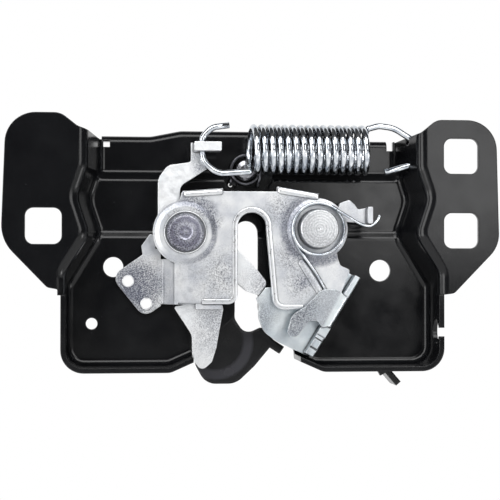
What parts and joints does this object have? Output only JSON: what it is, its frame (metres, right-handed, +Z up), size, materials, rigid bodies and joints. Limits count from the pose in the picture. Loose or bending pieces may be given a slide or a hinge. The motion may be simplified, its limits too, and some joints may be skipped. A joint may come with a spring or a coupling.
{
  "type": "hood latch",
  "caption": "Vehicle hood latch: stamped bracket with slotted front plate, spring-loaded claw, pawl with folded hook and a safety hook behind, held by square bolt holes.",
  "frame": {"origin": "middle of the striker slot, level with the claw and pawl pivots, on the front face of the bracket's lower floor", "axes": "+X to the right as the mechanism is looked at, -Y towards the viewer and out of the wings' front faces, +Z up with the striker slot open downwards"},
  "size_m": [0.1957, 0.0405, 0.1088],
  "materials": {
    "black_coat": "glossy black electro-dip coat on pressed steel",
    "black_hook": "glossy black coat on a thick stamped lever",
    "zinc_plate": "bright zinc plating with a fine mottled grain",
    "silver_lever": "bright white zinc on thick fine-blanked steel",
    "blue_zinc": "bluish bright zinc on folded steel",
    "rivet_steel": "upset rivet head with a grainy zinc face",
    "turned_steel": "turned face with fine rings",
    "bright_wire": "bright zinc-plated spring wire",
    "dark_steel": "dark oiled steel",
    "dark_wire": "dark spring wire"
  },
  "bodies": {
    "bracket": {"base_bracket": "black_coat", "front_plate": "zinc_plate", "claw_bush": "dark_steel", "claw_rear_washer": "dark_steel", "claw_front_washer": "dark_steel", "claw_rivet": "rivet_steel", "claw_spring": "bright_wire", "pawl_bush": "dark_steel", "pawl_rear_washer": "dark_steel", "pawl_front_washer": "dark_steel", "pawl_stud": "turned_steel", "pawl_spring": "bright_wire", "hook_washer": "dark_steel", "hook_rivet": "dark_steel", "hook_spring": "dark_wire"},
    "claw": {"claw": "silver_lever"},
    "pawl": {"pawl": "blue_zinc"},
    "safety_hook": {"safety_hook": "black_hook"}
  },
  "joints": [
    {"name": "claw_turn", "type": "hinge", "parent": "bracket", "child": "claw", "pos_m": [-0.0267, -0.004, -0.001], "axis": [0, -1, 0], "range_deg": [0, 22], "stiffness_Nm_per_rad": 5.5, "springref_deg": -15.47, "deforming": ["claw_spring"]},
    {"name": "pawl_turn", "type": "hinge", "parent": "bracket", "child": "pawl", "pos_m": [0.0262, -0.004, 0.0004], "axis": [0, -1, 0], "range_deg": [0, 15], "stiffness_Nm_per_rad": 0.25, "springref_deg": -34.38, "deforming": ["pawl_spring"]},
    {"name": "hook_swing", "type": "hinge", "parent": "bracket", "child": "safety_hook", "pos_m": [-0.0015, 0.00875, 0.025], "axis": [0, 1, 0], "range_deg": [0, 16], "stiffness_Nm_per_rad": 0.2, "springref_deg": -45.84, "deforming": ["hook_spring"]}
  ]
}
